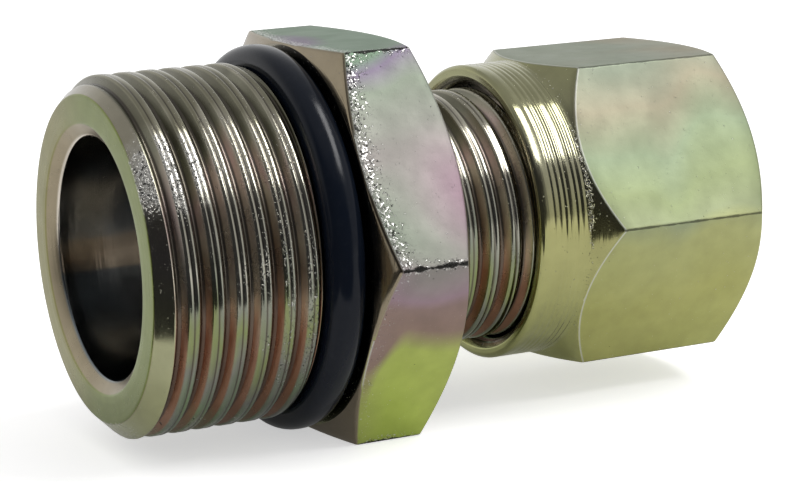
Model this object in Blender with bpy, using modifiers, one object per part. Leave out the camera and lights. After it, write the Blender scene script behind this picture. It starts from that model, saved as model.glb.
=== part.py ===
"""Straight male stud fitting for a 10 mm brake line: body, sealing ring, cutting ring and union nut.

Metres, +Z up. The fitting lies on one flat of the body hexagon with its axis along X, the stud at -X.
Along the axis, every place is counted from the seat face, where the sealing ring lies on the body hexagon.
"""

from math import ceil, cos, floor, pi, radians, sin, tan

import bmesh
import bpy

# Fineness of the round surfaces: a multiple of 6, so that every flat gets the same facets.
ROUND_STEPS = 48
CORD_STEPS = 14

# The brake line that the fitting takes, which isn't part of it.
TUBE_DIAMETER = 0.0100

# Fits between the pieces, each on the radius.
SEAT_GAP = 0.00015
RUNNING_GAP = 0.0002
TUBE_IN_RING_FIT = 0.00005
TUBE_IN_SOCKET_FIT = 0.0001
TUBE_IN_NUT_FIT = 0.0002
RING_IN_POCKET_FIT = 0.0003

# Body hexagon. The insets say how far inside the flats its two round end faces stop.
BODY_ACROSS_FLATS = 0.0240
BODY_HEX_WIDTH = 0.0066
SEAT_FACE_INSET = 0.0001
NECK_FACE_INSET = 0.0006
SEAT_SIDE_CHAMFER = radians(23)
NECK_SIDE_CHAMFER = radians(30)

# Form of both threads, rolled shallow with broad crests: depth and crest width as shares of the pitch, and
# the slope of the flanks.
THREAD_DEPTH_SHARE = 0.38
THREAD_CREST_SHARE = 0.42
THREAD_FLANK_ANGLE = radians(30)

# Stud, M22 x 1.5. The first groove's middle is counted from the end face along the lower side.
STUD_THREAD_DIAMETER = 0.0220
STUD_THREAD_PITCH = 0.0015
STUD_FIRST_GROOVE = 0.0002
STUD_LENGTH = 0.0130
STUD_END_INSET = 0.0011
STUD_END_CHAMFER = radians(45)
STUD_THREAD_RUNOUT = 0.0004
STUD_BORE_DIAMETER = 0.0148
STUD_BORE_DEPTH = 0.0090
STUD_BORE_MOUTH_WIDENING = 0.00085
STUD_BORE_MOUTH_DEPTH = 0.0006
DRILL_TIP_HALF_ANGLE = radians(59)
THROUGH_BORE_DIAMETER = 0.0080

# Sealing ring, in a groove between the stud thread and the hexagon. It ends just inside the flats.
O_RING_CORD = 0.0024
O_RING_INSET = 0.00005

# Neck, M16 x 1.5, with the 24 degree cone and the tube socket inside. The thread rises out of a plain shank.
NECK_THREAD_DIAMETER = 0.0160
NECK_THREAD_PITCH = 0.0015
NECK_FIRST_GROOVE = 0.0002
NECK_PLAIN_LENGTH = 0.0013
NECK_RUNOUT_ANGLE = radians(30)
NECK_LENGTH = 0.0110
NECK_END_CHAMFER = 0.0008
CONE_WIDENING = 0.00105
CONE_HALF_ANGLE = radians(12)
SOCKET_DEPTH = 0.0070

# Cutting ring, with its wall at the nose, in the middle and at the back.
CUTTING_RING_LENGTH = 0.0090
CUTTING_RING_NOSE_WALL = 0.00035
CUTTING_RING_WALL = 0.00165
CUTTING_RING_BACK_WALL = 0.00055
CUTTING_RING_CONE_LENGTH = 0.0042
CUTTING_EDGE_LENGTH = 0.0008
CUTTING_EDGE_RELIEF = 0.0002
CUTTING_EDGE_RELIEF_LENGTH = 0.0018

# Union nut, drawn up by hand: its rim stands off the body hexagon.
NUT_ACROSS_FLATS = 0.0190
NUT_LENGTH = 0.0165
NUT_STANDOFF = 0.0060
COLLAR_WALL = 0.00123
COLLAR_LENGTH = 0.00355
COLLAR_EDGE = 0.0002
COLLAR_SIDE_CHAMFER = radians(45)
NUT_END_INSET = 0.0005
NUT_END_CHAMFER = radians(35)
NUT_MOUTH_WIDENING = 0.0006
NUT_MOUTH_CHAMFER = radians(45)
NUT_THREAD_DEPTH = 0.0088
NUT_SHOULDER_HALF_ANGLE = radians(45)
TUBE_HOLE_EDGE = 0.0004

# How far cutters and bar stock reach past the surfaces they meet, and how close points are one point.
OVERRUN = 0.0010
MERGE_DISTANCE = 0.000001

# Places along the axis, from the seat face towards the nut.
STUD_END = -STUD_LENGTH
NECK_FACE = BODY_HEX_WIDTH
NECK_END = NECK_FACE + NECK_LENGTH
NUT_RIM = NECK_FACE + NUT_STANDOFF
NUT_END = NUT_RIM + NUT_LENGTH

# Where the lying fitting is: its middle over the origin, its lower flat on the ground.
SEAT_FACE_X = -(STUD_END + NUT_END) / 2
AXIS_HEIGHT = BODY_ACROSS_FLATS / 2

# The sealing ring's edge just inside the flats, and the groove that holds the ring.
O_RING_OUTER_RADIUS = BODY_ACROSS_FLATS / 2 - O_RING_INSET
O_RING_GROOVE_RADIUS = O_RING_OUTER_RADIUS - O_RING_CORD - RUNNING_GAP
O_RING_GROOVE_WIDTH = O_RING_CORD + 2 * SEAT_GAP

# The nut's threaded bore, which runs on the neck.
NUT_THREAD_RADIUS = NECK_THREAD_DIAMETER / 2 + RUNNING_GAP

# Radii that follow the tube.
SOCKET_RADIUS = TUBE_DIAMETER / 2 + TUBE_IN_SOCKET_FIT
CONE_MOUTH_RADIUS = SOCKET_RADIUS + CONE_WIDENING
RING_BORE_RADIUS = TUBE_DIAMETER / 2 + TUBE_IN_RING_FIT
RING_NOSE_RADIUS = RING_BORE_RADIUS + CUTTING_RING_NOSE_WALL
RING_RADIUS = RING_BORE_RADIUS + CUTTING_RING_WALL
RING_BACK_RADIUS = RING_BORE_RADIUS + CUTTING_RING_BACK_WALL
NUT_POCKET_RADIUS = RING_RADIUS + RING_IN_POCKET_FIT
TUBE_HOLE_RADIUS = TUBE_DIAMETER / 2 + TUBE_IN_NUT_FIT


def corner_radius(across_flats):
    """Radius of the circle through a hexagon's corners."""
    return across_flats / 2 / cos(pi / 6)


def cone_run(radius_change, angle):
    """Length along the axis of a cone whose surface stands at this angle to the axis."""
    return radius_change / tan(angle)


def chamfer_run(radius_change, angle):
    """Length along the axis of a chamfer whose surface stands at this angle to the end face."""
    return radius_change * tan(angle)


def clear_scene():
    for old_object in list(bpy.data.objects):
        bpy.data.objects.remove(old_object, do_unlink=True)


def new_collection(name):
    collection = bpy.data.collections.new(name)
    bpy.context.scene.collection.children.link(collection)
    return collection


def new_material(name, colour, roughness, metallic):
    material = bpy.data.materials.new(name)
    material.use_nodes = True
    shader = material.node_tree.nodes["Principled BSDF"]
    shader.inputs["Base Color"].default_value = (*colour, 1.0)
    shader.inputs["Roughness"].default_value = roughness
    shader.inputs["Metallic"].default_value = metallic
    return material


def place(obj, collection, parent, along_axis):
    """Puts an object on the fitting's axis, at this distance from the seat face."""
    for old_collection in list(obj.users_collection):
        old_collection.objects.unlink(obj)
    collection.objects.link(obj)
    obj.parent = parent
    obj.location = (0.0, 0.0, along_axis)
    return obj


def turned(name, profile, collection, parent, along_axis, closed=False):
    """A solid turned about its local Z from (radius, z) points, top to bottom down the outer side."""
    mesh = bpy.data.meshes.new(name)
    outline = bmesh.new()
    corners = [outline.verts.new((radius, 0.0, z)) for radius, z in profile]
    for start, end in zip(corners, corners[1:]):
        outline.edges.new((start, end))
    if closed:
        outline.edges.new((corners[-1], corners[0]))
    outline.to_mesh(mesh)
    outline.free()
    obj = bpy.data.objects.new(name, mesh)
    screw = obj.modifiers.new("turn", "SCREW")
    screw.axis = "Z"
    screw.angle = 2 * pi
    screw.steps = ROUND_STEPS
    screw.render_steps = ROUND_STEPS
    screw.use_merge_vertices = True
    screw.merge_threshold = MERGE_DISTANCE
    screw.use_smooth_shade = True
    return place(obj, collection, parent, along_axis)


def hexagon_bar(name, across_flats, bottom, top, collection, parent, along_axis):
    """Bar stock with a flat at the bottom and the top of the lying fitting."""
    bpy.ops.mesh.primitive_cylinder_add(
        vertices=6, radius=corner_radius(across_flats), depth=top - bottom
    )
    bar = bpy.context.object
    bar.name = name
    bar.data.name = name
    for corner in bar.data.vertices:
        corner.co.z += (top + bottom) / 2
    return place(bar, collection, parent, along_axis)


def thread_groove(name, radius, pitch, groove, start, end, collection, parent, root_at=None):
    """The space between the turns of a right-handed thread: one closed coil about local Z.

    groove is a place where a groove's middle passes the lower side, and the coil runs from start to end.
    root_at gives the bottom's radius at a place along the axis, where it isn't the same all along.
    Outside the thread the coil stands proud by half of what would let its turns touch.
    """
    widening = tan(THREAD_FLANK_ANGLE)
    crest_width = THREAD_CREST_SHARE * pitch
    root_radius = radius - THREAD_DEPTH_SHARE * pitch
    outer_radius = radius + crest_width / widening / 4
    rise = pitch / ROUND_STEPS
    mesh = bpy.data.meshes.new(name)
    coil = bmesh.new()
    sections = []
    for step in range(ceil((start - groove) / rise), floor((end - groove) / rise) + 1):
        middle = groove + rise * step
        bottom = max(root_radius, root_at(middle)) if root_at else root_radius
        section = []
        for side, height in ((-1, bottom), (1, bottom), (1, outer_radius), (-1, outer_radius)):
            half_width = (pitch - crest_width) / 2 + (height - radius) * widening
            turn = 2 * pi * step / ROUND_STEPS
            section.append((height * cos(turn), height * sin(turn), middle + side * half_width))
        sections.append([coil.verts.new(corner) for corner in section])
    for here, onward in zip(sections, sections[1:]):
        for k in range(4):
            coil.faces.new((here[k], here[(k + 1) % 4], onward[(k + 1) % 4], onward[k]))
    coil.faces.new(reversed(sections[0]))
    coil.faces.new(sections[-1])
    bmesh.ops.recalc_face_normals(coil, faces=coil.faces)
    coil.to_mesh(mesh)
    coil.free()
    return place(bpy.data.objects.new(name, mesh), collection, parent, 0.0)


def boolean(obj, operation, other):
    modifier = obj.modifiers.new(f"{operation.lower()} {other.name}", "BOOLEAN")
    modifier.operation = operation
    modifier.solver = "EXACT"
    modifier.object = other


def as_cutter(obj):
    obj.hide_render = True
    obj.display_type = "WIRE"
    return obj


def body_outline():
    """What the lathe leaves of the bar: neck, chamfered hexagon, ring groove and stud."""
    neck_radius = NECK_THREAD_DIAMETER / 2
    neck_face_radius = BODY_ACROSS_FLATS / 2 - NECK_FACE_INSET
    seat_face_radius = BODY_ACROSS_FLATS / 2 - SEAT_FACE_INSET
    swing = corner_radius(BODY_ACROSS_FLATS) + OVERRUN / 2
    neck_side = NECK_FACE - chamfer_run(swing - neck_face_radius, NECK_SIDE_CHAMFER)
    seat_side = chamfer_run(swing - seat_face_radius, SEAT_SIDE_CHAMFER)
    thread_radius = STUD_THREAD_DIAMETER / 2
    stud_end_radius = thread_radius - STUD_END_INSET
    end_chamfer = chamfer_run(STUD_END_INSET, STUD_END_CHAMFER)
    return [
        (0.0, NECK_END),
        (neck_radius - NECK_END_CHAMFER, NECK_END),
        (neck_radius, NECK_END - NECK_END_CHAMFER),
        (neck_radius, NECK_FACE),
        (neck_face_radius, NECK_FACE),
        (swing, neck_side),
        (swing, seat_side),
        (seat_face_radius, 0.0),
        (O_RING_GROOVE_RADIUS, 0.0),
        (O_RING_GROOVE_RADIUS, -O_RING_GROOVE_WIDTH),
        (thread_radius - STUD_THREAD_RUNOUT, -O_RING_GROOVE_WIDTH),
        (thread_radius, -O_RING_GROOVE_WIDTH - STUD_THREAD_RUNOUT),
        (thread_radius, STUD_END + end_chamfer),
        (stud_end_radius, STUD_END),
        (0.0, STUD_END),
    ]


def body_bore():
    """The passage: 24 degree cone, tube socket, through bore and the wide bore of the stud."""
    through_radius = THROUGH_BORE_DIAMETER / 2
    stud_radius = STUD_BORE_DIAMETER / 2
    mouth_radius = stud_radius + STUD_BORE_MOUTH_WIDENING
    cone_bottom = NECK_END - cone_run(CONE_WIDENING, CONE_HALF_ANGLE)
    stud_bore_end = STUD_END + STUD_BORE_DEPTH
    drill_tip = cone_run(stud_radius - through_radius, DRILL_TIP_HALF_ANGLE)
    mouth_flare = STUD_BORE_MOUTH_WIDENING * OVERRUN / STUD_BORE_MOUTH_DEPTH
    return [
        (0.0, NECK_END + OVERRUN),
        (CONE_MOUTH_RADIUS + OVERRUN * tan(CONE_HALF_ANGLE), NECK_END + OVERRUN),
        (SOCKET_RADIUS, cone_bottom),
        (SOCKET_RADIUS, NECK_END - SOCKET_DEPTH),
        (through_radius, NECK_END - SOCKET_DEPTH),
        (through_radius, stud_bore_end + drill_tip),
        (stud_radius, stud_bore_end),
        (stud_radius, STUD_END + STUD_BORE_MOUTH_DEPTH),
        (mouth_radius + mouth_flare, STUD_END - OVERRUN),
        (0.0, STUD_END - OVERRUN),
    ]


def neck_runout(along_axis):
    """Bottom of the neck's thread where the die ran out: a cone that leaves the plain shank."""
    into_thread = along_axis - NECK_FACE - NECK_PLAIN_LENGTH
    return NECK_THREAD_DIAMETER / 2 - into_thread * tan(NECK_RUNOUT_ANGLE)


def cutting_ring_place():
    """Where the ring's nose stops in the body's cone, one seat gap short of touching it."""
    gap = SEAT_GAP / cos(CONE_HALF_ANGLE)
    depth = CONE_MOUTH_RADIUS - RING_NOSE_RADIUS - gap
    return NECK_END - cone_run(depth, CONE_HALF_ANGLE)


def cutting_ring_outline():
    """Section of the ring from its back, down the outside to the nose, and back through the bore."""
    relief_radius = RING_BORE_RADIUS + CUTTING_EDGE_RELIEF
    cone_radius = RING_NOSE_RADIUS + CUTTING_RING_CONE_LENGTH * tan(CONE_HALF_ANGLE)
    shoulder = CUTTING_RING_CONE_LENGTH + (RING_RADIUS - cone_radius)
    back_chamfer = cone_run(RING_RADIUS - RING_BACK_RADIUS, NUT_SHOULDER_HALF_ANGLE)
    relief_end = CUTTING_EDGE_LENGTH + CUTTING_EDGE_RELIEF_LENGTH
    return [
        (RING_BORE_RADIUS, CUTTING_RING_LENGTH),
        (RING_BACK_RADIUS, CUTTING_RING_LENGTH),
        (RING_RADIUS, CUTTING_RING_LENGTH - back_chamfer),
        (RING_RADIUS, shoulder),
        (cone_radius, CUTTING_RING_CONE_LENGTH),
        (RING_NOSE_RADIUS, 0.0),
        (RING_BORE_RADIUS, 0.0),
        (RING_BORE_RADIUS, CUTTING_EDGE_LENGTH),
        (relief_radius, CUTTING_EDGE_LENGTH + CUTTING_EDGE_RELIEF),
        (relief_radius, relief_end - CUTTING_EDGE_RELIEF),
        (RING_BORE_RADIUS, relief_end),
    ]


def nut_outline():
    """What the lathe leaves of the nut's bar, from the tube end down to the rim of the collar."""
    end_radius = NUT_ACROSS_FLATS / 2 - NUT_END_INSET
    collar_radius = NUT_THREAD_RADIUS + COLLAR_WALL
    swing = corner_radius(NUT_ACROSS_FLATS) + OVERRUN / 2
    end_side = NUT_LENGTH - chamfer_run(swing - end_radius, NUT_END_CHAMFER)
    collar_side = COLLAR_LENGTH + chamfer_run(swing - collar_radius, COLLAR_SIDE_CHAMFER)
    return [
        (0.0, NUT_LENGTH),
        (end_radius, NUT_LENGTH),
        (swing, end_side),
        (swing, collar_side),
        (collar_radius, COLLAR_LENGTH),
        (collar_radius, COLLAR_EDGE),
        (collar_radius - COLLAR_EDGE, 0.0),
        (0.0, 0.0),
    ]


def nut_bore():
    """Tube hole, shoulder for the cutting ring's back, ring pocket, threaded bore and mouth."""
    mouth_radius = NUT_THREAD_RADIUS + NUT_MOUTH_WIDENING
    ring_back = cutting_ring_place() + CUTTING_RING_LENGTH - NUT_RIM
    seat_shift = SEAT_GAP / cos(NUT_SHOULDER_HALF_ANGLE)
    shoulder_at_back = ring_back + seat_shift
    shoulder_top = shoulder_at_back + cone_run(
        RING_BACK_RADIUS - TUBE_HOLE_RADIUS, NUT_SHOULDER_HALF_ANGLE
    )
    shoulder_bottom = shoulder_top - cone_run(
        NUT_POCKET_RADIUS - TUBE_HOLE_RADIUS, NUT_SHOULDER_HALF_ANGLE
    )
    mouth_depth = chamfer_run(NUT_MOUTH_WIDENING, NUT_MOUTH_CHAMFER)
    mouth_flare = OVERRUN / tan(NUT_MOUTH_CHAMFER)
    return [
        (0.0, NUT_LENGTH + OVERRUN),
        (TUBE_HOLE_RADIUS + TUBE_HOLE_EDGE + OVERRUN, NUT_LENGTH + OVERRUN),
        (TUBE_HOLE_RADIUS, NUT_LENGTH - TUBE_HOLE_EDGE),
        (TUBE_HOLE_RADIUS, shoulder_top),
        (NUT_POCKET_RADIUS, shoulder_bottom),
        (NUT_POCKET_RADIUS, NUT_THREAD_DEPTH),
        (NUT_THREAD_RADIUS, NUT_THREAD_DEPTH),
        (NUT_THREAD_RADIUS, mouth_depth),
        (mouth_radius + mouth_flare, -OVERRUN),
        (0.0, -OVERRUN),
    ]


def build_body(parts, cutters, axis):
    body = hexagon_bar(
        "fitting_body", BODY_ACROSS_FLATS, STUD_END - OVERRUN, NECK_END + OVERRUN, parts, axis, 0.0
    )
    outline = turned("body_outline", body_outline(), cutters, axis, 0.0)
    bore = turned("body_bore", body_bore(), cutters, axis, 0.0)
    stud_groove = thread_groove(
        "stud_thread",
        STUD_THREAD_DIAMETER / 2,
        STUD_THREAD_PITCH,
        STUD_END + STUD_FIRST_GROOVE,
        STUD_END - STUD_THREAD_PITCH,
        -O_RING_GROOVE_WIDTH / 2,
        cutters,
        axis,
    )
    neck_groove = thread_groove(
        "neck_thread",
        NECK_THREAD_DIAMETER / 2,
        NECK_THREAD_PITCH,
        NECK_FACE + NECK_FIRST_GROOVE,
        NECK_FACE + NECK_PLAIN_LENGTH,
        NECK_END + NECK_THREAD_PITCH,
        cutters,
        axis,
        neck_runout,
    )
    boolean(body, "INTERSECT", as_cutter(outline))
    boolean(body, "DIFFERENCE", as_cutter(bore))
    boolean(body, "DIFFERENCE", as_cutter(stud_groove))
    boolean(body, "DIFFERENCE", as_cutter(neck_groove))
    return body


def build_o_ring(parts, axis):
    bpy.ops.mesh.primitive_torus_add(
        major_radius=O_RING_OUTER_RADIUS - O_RING_CORD / 2,
        minor_radius=O_RING_CORD / 2,
        major_segments=ROUND_STEPS,
        minor_segments=CORD_STEPS,
    )
    ring = bpy.context.object
    ring.name = "o_ring"
    ring.data.name = "o_ring"
    ring.data.shade_smooth()
    return place(ring, parts, axis, -O_RING_GROOVE_WIDTH / 2)


def build_cutting_ring(parts, axis):
    return turned(
        "cutting_ring", cutting_ring_outline(), parts, axis, cutting_ring_place(), closed=True
    )


def build_nut(parts, cutters, axis):
    nut = hexagon_bar(
        "union_nut", NUT_ACROSS_FLATS, -OVERRUN, NUT_LENGTH + OVERRUN, parts, axis, NUT_RIM
    )
    outline = turned("nut_outline", nut_outline(), cutters, axis, NUT_RIM)
    bore = turned("nut_bore", nut_bore(), cutters, axis, NUT_RIM)
    boolean(nut, "INTERSECT", as_cutter(outline))
    boolean(nut, "DIFFERENCE", as_cutter(bore))
    return nut


def main():
    clear_scene()
    parts = new_collection("brake_line_fitting")
    cutters = new_collection("cutters")

    axis = bpy.data.objects.new("fitting_axis", None)
    parts.objects.link(axis)
    axis.location = (SEAT_FACE_X, 0.0, AXIS_HEIGHT)
    axis.rotation_euler = (0.0, pi / 2, 0.0)

    plating = new_material("yellow_chromate", (0.44, 0.42, 0.27), 0.25, 1.0)
    ring_steel = new_material("ring_steel", (0.36, 0.35, 0.30), 0.35, 1.0)
    black_rubber = new_material("black_rubber", (0.02, 0.022, 0.026), 0.45, 0.0)

    build_body(parts, cutters, axis).data.materials.append(plating)
    build_o_ring(parts, axis).data.materials.append(black_rubber)
    build_cutting_ring(parts, axis).data.materials.append(ring_steel)
    build_nut(parts, cutters, axis).data.materials.append(plating)


main()
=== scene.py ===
# %% [markdown]
# # A plated steel brake line fitting
#
# This lesson dresses a small turned steel part: a straight coupling for a 10 mm brake line. The CAD model
# gives the sizes, the places and what moves. Here every visible surface is worked out again with numpy, with
# real screw threads and softened edges, and gets a plated, rubber or plain steel finish.
# Sizes are in millimetres, and `MM` turns them into Blender's metres.

# %% Load the frame
import math

import bpy
import numpy as np
from mathutils import Euler, Matrix, Vector


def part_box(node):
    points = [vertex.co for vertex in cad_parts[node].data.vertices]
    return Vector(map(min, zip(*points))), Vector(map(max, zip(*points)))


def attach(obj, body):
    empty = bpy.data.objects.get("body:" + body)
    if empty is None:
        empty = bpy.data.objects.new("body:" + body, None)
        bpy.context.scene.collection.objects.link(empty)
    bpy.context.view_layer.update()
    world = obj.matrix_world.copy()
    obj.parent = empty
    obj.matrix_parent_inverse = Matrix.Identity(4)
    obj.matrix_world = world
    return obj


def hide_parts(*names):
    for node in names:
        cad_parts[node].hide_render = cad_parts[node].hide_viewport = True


MM = 0.001
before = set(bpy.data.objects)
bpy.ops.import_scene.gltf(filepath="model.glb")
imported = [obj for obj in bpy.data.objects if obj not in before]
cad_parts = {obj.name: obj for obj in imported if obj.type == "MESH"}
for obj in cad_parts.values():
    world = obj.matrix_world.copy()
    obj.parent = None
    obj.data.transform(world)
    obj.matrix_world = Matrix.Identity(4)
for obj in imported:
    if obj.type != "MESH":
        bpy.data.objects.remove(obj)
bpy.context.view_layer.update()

body_box = [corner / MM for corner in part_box("fitting_body")]
nut_box = [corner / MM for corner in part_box("union_nut")]
seal_box = [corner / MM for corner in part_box("o_ring")]
cutter_box = [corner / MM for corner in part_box("cutting_ring")]
AXIS_HEIGHT = body_box[1].z / 2
STUD_END = body_box[0].x
NECK_END = body_box[1].x
NUT_RIM = nut_box[0].x
NUT_END = nut_box[1].x
STUD_RIM = 9.9
COLLAR_END = NUT_RIM + 3.55
print("axis", round(AXIS_HEIGHT, 3), "mm up, length", round(NUT_END - STUD_END, 2), "mm")

# %% [markdown]
# ## Camera
#
# The photograph was taken with a long lens from the front left and a little above. Its camera could be placed
# by eye, but fitting the part's known edges to the picture gives place, direction and lens at once, so those
# fitted values are used here. The sensor is Blender's usual 36 mm across the long side of the picture.

# %% Camera
CAMERA_PLACE = Vector((-73.88, -147.29, 44.23)) * MM
CAMERA_TURN = math.radians(-26.517)
CAMERA_TILT = math.radians(-11.512)
CAMERA_ROLL = math.radians(-1.715)
LENS = 119.32

camera_data = bpy.data.cameras.new("camera")
camera_data.lens = LENS
camera_data.sensor_width = 36.0
camera_data.clip_start = 0.01
camera_data.clip_end = 20.0
camera = bpy.data.objects.new("camera", camera_data)
camera.location = CAMERA_PLACE
aim = Euler((math.pi / 2 + CAMERA_TILT, 0.0, CAMERA_TURN)).to_matrix()
camera.rotation_euler = (aim @ Matrix.Rotation(CAMERA_ROLL, 3, "Z")).to_euler()
bpy.context.scene.collection.objects.link(camera)
bpy.context.scene.camera = camera
bpy.context.scene.view_settings.view_transform = "Standard"
print("camera", round(CAMERA_PLACE.length, 4), "m from the middle of the part")

# %% [markdown]
# ## Node helpers
#
# Materials are node trees. Built by hand in the editor they are easy to see but slow to repeat, so a small
# helper adds a node, sets its options and fills its inputs from numbers or from other nodes' outputs. Sums
# get plain names, so that a material further down reads like a formula.


# %% Node helpers
def add(tree, kind, inputs=None, **options):
    """A new node: options are its properties, inputs are numbers, colours or the outputs of other nodes."""
    node = tree.nodes.new(kind)
    for name, value in options.items():
        setattr(node, name, value)
    for key, value in (inputs or {}).items():
        if isinstance(value, bpy.types.NodeSocket):
            tree.links.new(value, node.inputs[key])
        else:
            node.inputs[key].default_value = value
    return node


def calculate(tree, operation, *values, clamp=False):
    """The output of a Math node, or of a row of them that takes the values from left to right."""
    result, *others = values
    for value in others or [0.0]:
        node = add(tree, "ShaderNodeMath", {0: result, 1: value}, operation=operation, use_clamp=clamp)
        result = node.outputs[0]
    return result


def plus(tree, *values):
    """The sum of the values."""
    return calculate(tree, "ADD", *values)


def minus(tree, *values, clamp=False):
    """The first value less the others."""
    return calculate(tree, "SUBTRACT", *values, clamp=clamp)


def times(tree, *values):
    """The product of the values."""
    return calculate(tree, "MULTIPLY", *values)


def larger(tree, *values):
    """The largest of the values."""
    return calculate(tree, "MAXIMUM", *values)


def vector_math(tree, operation, first, second=(0.0, 0.0, 0.0)):
    """The output of a Vector Math node: a number for LENGTH and DISTANCE, otherwise a vector."""
    node = add(tree, "ShaderNodeVectorMath", {0: first, 1: second}, operation=operation)
    return node.outputs["Value" if operation in ("LENGTH", "DISTANCE") else "Vector"]


def between(tree, value, low, high, to_low=0.0, to_high=1.0):
    """A smooth step: value from low to high becomes to_low to to_high."""
    step = add(tree, "ShaderNodeMapRange", {0: value, 1: low, 2: high, 3: to_low, 4: to_high})
    step.interpolation_type = "SMOOTHSTEP"
    return step.outputs[0]


def fades(tree, value, low, high, full=1.0):
    """A smooth step down: value from low to high becomes full to 0."""
    return between(tree, value, low, high, full, 0.0)


def blend(tree, share, first, second, mode="MIX"):
    """Two colours mixed by a share."""
    inputs = {0: share, 6: first, 7: second}
    return add(tree, "ShaderNodeMix", inputs, data_type="RGBA", blend_type=mode).outputs[2]


def background_rays(tree):
    """1 for the rays that should see the white backdrop: from the camera, mirrored or let through."""
    rays = add(tree, "ShaderNodeLightPath").outputs
    return larger(tree, rays["Is Camera Ray"], rays["Is Glossy Ray"], rays["Is Transmission Ray"])


# %% [markdown]
# ## Studio
#
# A small metal part shows mostly what stands round it. The photograph has a white ground, one long soft lamp
# above and to the right, which draws the bright bands on the threads, and a dim room behind the camera, which
# gives the dark bands between. The room could be built as walls; a world whose colour depends on direction
# does the same with no objects. The floor is pale paint. It glows a little, and more for the camera alone, so
# that it looks white there while its shadow stays and the part gets no more light. Like a photographer's
# black card, a dark sheet lies left and front of the part, and only mirrored rays see it. Its right edge
# slants away from the camera's line, so that its end never shows as a stripe on the round faces.

# %% World
WHITE = (1.0, 1.0, 1.0, 1.0)
ROOM_DARK = (0.05, 0.05, 0.055, 1.0)
BEHIND_EDGE = (-0.25, 0.30)
BEHIND_TOP = (0.30, 0.75)
OVERHEAD_EDGE = (0.55, 0.95)
OVERHEAD_LIGHT = 0.55
RIGHT_EDGE = (0.43, 0.50)
RIGHT_LIGHT = 0.68
AMBIENT = 0.70

world = bpy.data.worlds.new("studio")
bpy.context.scene.world = world
world.use_nodes = True
tree = world.node_tree
tree.nodes.clear()
sky = add(tree, "ShaderNodeTexCoord").outputs["Generated"]
direction = add(tree, "ShaderNodeSeparateXYZ", {0: sky}).outputs
behind = between(tree, direction["Y"], *BEHIND_EDGE)
high_up = between(tree, direction["Z"], *BEHIND_TOP, 1.0, OVERHEAD_LIGHT)
overhead = between(tree, direction["Z"], *OVERHEAD_EDGE, 0.0, OVERHEAD_LIGHT)
at_right = between(tree, direction["X"], *RIGHT_EDGE, 0.0, RIGHT_LIGHT)
lightness = larger(tree, times(tree, behind, high_up), overhead, at_right)
room_colour = blend(tree, lightness, ROOM_DARK, WHITE)
room = add(tree, "ShaderNodeBackground", {"Color": room_colour, "Strength": 1.0}).outputs[0]
ambient = add(tree, "ShaderNodeBackground", {"Color": WHITE, "Strength": AMBIENT}).outputs[0]
backdrop = add(tree, "ShaderNodeBackground", {"Color": WHITE, "Strength": 1.0}).outputs[0]
around_part = add(tree, "ShaderNodeMixShader", {0: background_rays(tree), 1: ambient, 2: room}).outputs[0]
camera_ray = add(tree, "ShaderNodeLightPath").outputs["Is Camera Ray"]
studio = add(tree, "ShaderNodeMixShader", {0: camera_ray, 1: around_part, 2: backdrop}).outputs[0]
add(tree, "ShaderNodeOutputWorld", {0: studio})
print("studio: walls", RIGHT_LIGHT, "and overhead", OVERHEAD_LIGHT, "in mirrors, ambient", AMBIENT)

# %% Lamp
def towards(turn, height):
    """The direction that is turned from the front towards +X, at a height above the floor, in degrees."""
    turn, height = math.radians(turn), math.radians(height)
    return Vector((math.sin(turn) * math.cos(height), -math.cos(turn) * math.cos(height), math.sin(height)))


def strip_lamp(name, start, end, distance, width, radiance):
    """A long area lamp that faces the part, with its two ends in the directions start and end."""
    away = (start + end).normalized()
    along = (end - start).normalized()
    length = 2 * distance * math.tan(start.angle(end) / 2)
    data = bpy.data.lights.new(name, "AREA")
    data.shape = "RECTANGLE"
    data.size, data.size_y = length, width
    data.energy = radiance * math.pi * length * width
    lamp = bpy.data.objects.new(name, data)
    lamp.location = Vector((0.0, 0.0, AXIS_HEIGHT * MM)) + away * distance
    lamp.rotation_euler = Matrix((along, away.cross(along), away)).transposed().to_euler()
    bpy.context.scene.collection.objects.link(lamp)
    print(name, round(length, 3), "x", width, "m, shining along", [round(v, 2) for v in -away])


strip_lamp("key_lamp", towards(36, 40), towards(92, 65), distance=0.60, width=0.13, radiance=11.0)

# %% Floor
FLOOR_SIZE = 2.0
FLOOR_COLOUR = (0.84, 0.84, 0.84, 1.0)
FLOOR_LIFT = 0.12
FLOOR_SEEN = 0.40


def flat_sheet(name, outline, height, material):
    """A level stage piece from its outline's (x, y) corners."""
    mesh = bpy.data.meshes.new(name)
    mesh.from_pydata([(x, y, height) for x, y in outline], [], [range(len(outline))])
    mesh.materials.append(material)
    sheet = bpy.data.objects.new(name, mesh)
    bpy.context.scene.collection.objects.link(sheet)
    print(name, "of", len(outline), "corners,", height / MM, "mm up")
    return sheet


floor_paint = bpy.data.materials.new("floor_paint")
floor_paint.use_nodes = True
tree = floor_paint.node_tree
tree.nodes.clear()
camera_ray = add(tree, "ShaderNodeLightPath").outputs["Is Camera Ray"]
glow = plus(tree, times(tree, background_rays(tree), FLOOR_LIFT), times(tree, camera_ray, FLOOR_SEEN))
matt = add(tree, "ShaderNodeBsdfDiffuse", {"Color": FLOOR_COLOUR})
lift = add(tree, "ShaderNodeEmission", {"Color": WHITE, "Strength": glow})
both = add(tree, "ShaderNodeAddShader", {0: matt.outputs[0], 1: lift.outputs[0]})
add(tree, "ShaderNodeOutputMaterial", {0: both.outputs[0]})
half = FLOOR_SIZE / 2
flat_sheet("floor", [(-half, -half), (half, -half), (half, half), (-half, half)], 0.0, floor_paint)

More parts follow.
